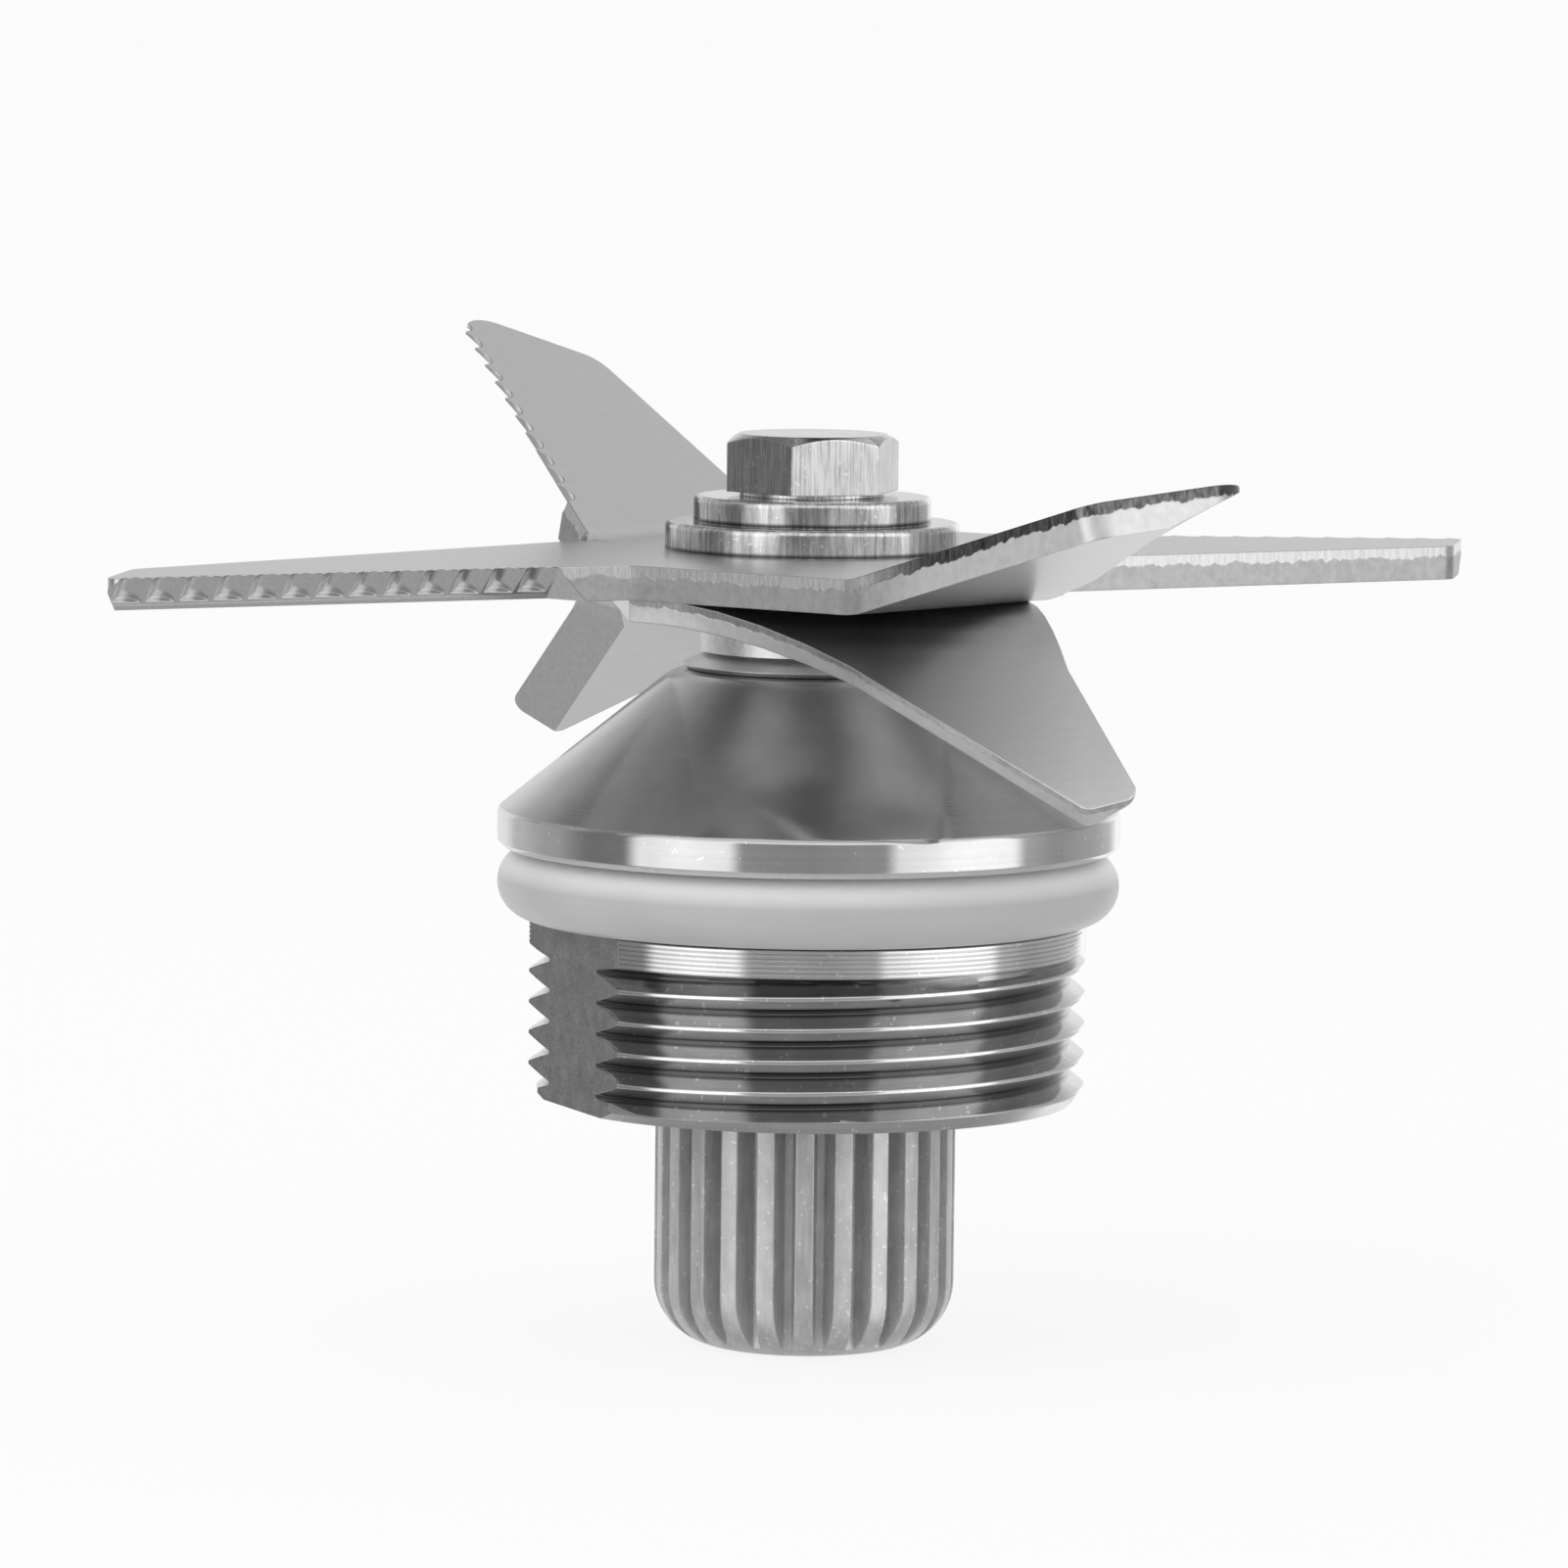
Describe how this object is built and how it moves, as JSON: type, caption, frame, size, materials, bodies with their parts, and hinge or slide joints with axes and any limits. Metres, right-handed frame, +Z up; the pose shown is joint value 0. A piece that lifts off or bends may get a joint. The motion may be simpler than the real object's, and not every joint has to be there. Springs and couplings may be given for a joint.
{
  "type": "blender blade assembly",
  "caption": "Serrated star blade and a bent-down blade, bolted on a shaft that runs in a threaded, cone-topped steel bearing housing with a seal ring and a toothed drive end.",
  "frame": {"origin": "centre of the flat foot of the drive spline, on the shaft's axis", "axes": "+Z up along the shaft, from the spline to the bolt head; the picture looks along +Y; +X to its right"},
  "size_m": [0.087, 0.0714, 0.0647],
  "materials": {
    "body_steel": "turned and polished stainless steel",
    "blade_steel": "fine satin stainless steel with ground edges",
    "bolt_steel": "bright stainless steel",
    "washer_steel": "stamped stainless steel",
    "bush_steel": "turned stainless steel",
    "spline_steel": "bright broached steel",
    "shaft_steel": "ground steel",
    "race_steel": "ground bearing steel",
    "ball_steel": "polished balls",
    "cage_plastic": "plain glass-filled polyamide",
    "disc_rubber": "black rubber on steel",
    "clip_steel": "phosphated spring steel",
    "seal_rubber": "black rubber",
    "ring_silicone": "translucent white silicone"
  },
  "bodies": {
    "housing_body": {"housing": "body_steel", "o_ring": "ring_silicone", "retaining_ring": "clip_steel", "lower_outer_race": "race_steel", "upper_outer_race": "race_steel", "outer_spacer": "shaft_steel", "lower_bearing_low_disc": "disc_rubber", "lower_bearing_top_disc": "disc_rubber", "upper_bearing_low_disc": "disc_rubber", "upper_bearing_top_disc": "disc_rubber", "seal_case": "shaft_steel", "seal_lip": "seal_rubber", "garter_spring": "shaft_steel"},
    "rotor": {"drive_shaft": "shaft_steel", "drive_spline": "spline_steel", "lower_inner_race": "race_steel", "upper_inner_race": "race_steel", "inner_spacer": "shaft_steel", "slinger": "bush_steel", "blade_spacer": "bush_steel", "lower_blade": "blade_steel", "upper_blade": "blade_steel", "large_washer": "washer_steel", "small_washer": "washer_steel", "hex_bolt": "bolt_steel"},
    "lower_ball_set": {"lower_balls": "ball_steel", "lower_ball_cage": "cage_plastic"},
    "upper_ball_set": {"upper_balls": "ball_steel", "upper_ball_cage": "cage_plastic"}
  },
  "joints": [
    {"name": "rotor_spin", "type": "hinge", "parent": "housing_body", "child": "rotor", "pos_m": [0, 0, 0.028], "axis": [0, 0, 1], "continuous": true},
    {"name": "lower_ball_spin", "type": "hinge", "parent": "housing_body", "child": "lower_ball_set", "pos_m": [0, 0, 0.022], "axis": [0, 0, 1], "continuous": true},
    {"name": "upper_ball_spin", "type": "hinge", "parent": "housing_body", "child": "upper_ball_set", "pos_m": [0, 0, 0.034], "axis": [0, 0, 1], "continuous": true}
  ],
  "couplings": [
    {"joint": "lower_ball_spin", "follows": "rotor_spin", "ratio": 0.36778},
    {"joint": "upper_ball_spin", "follows": "rotor_spin", "ratio": 0.36778}
  ]
}
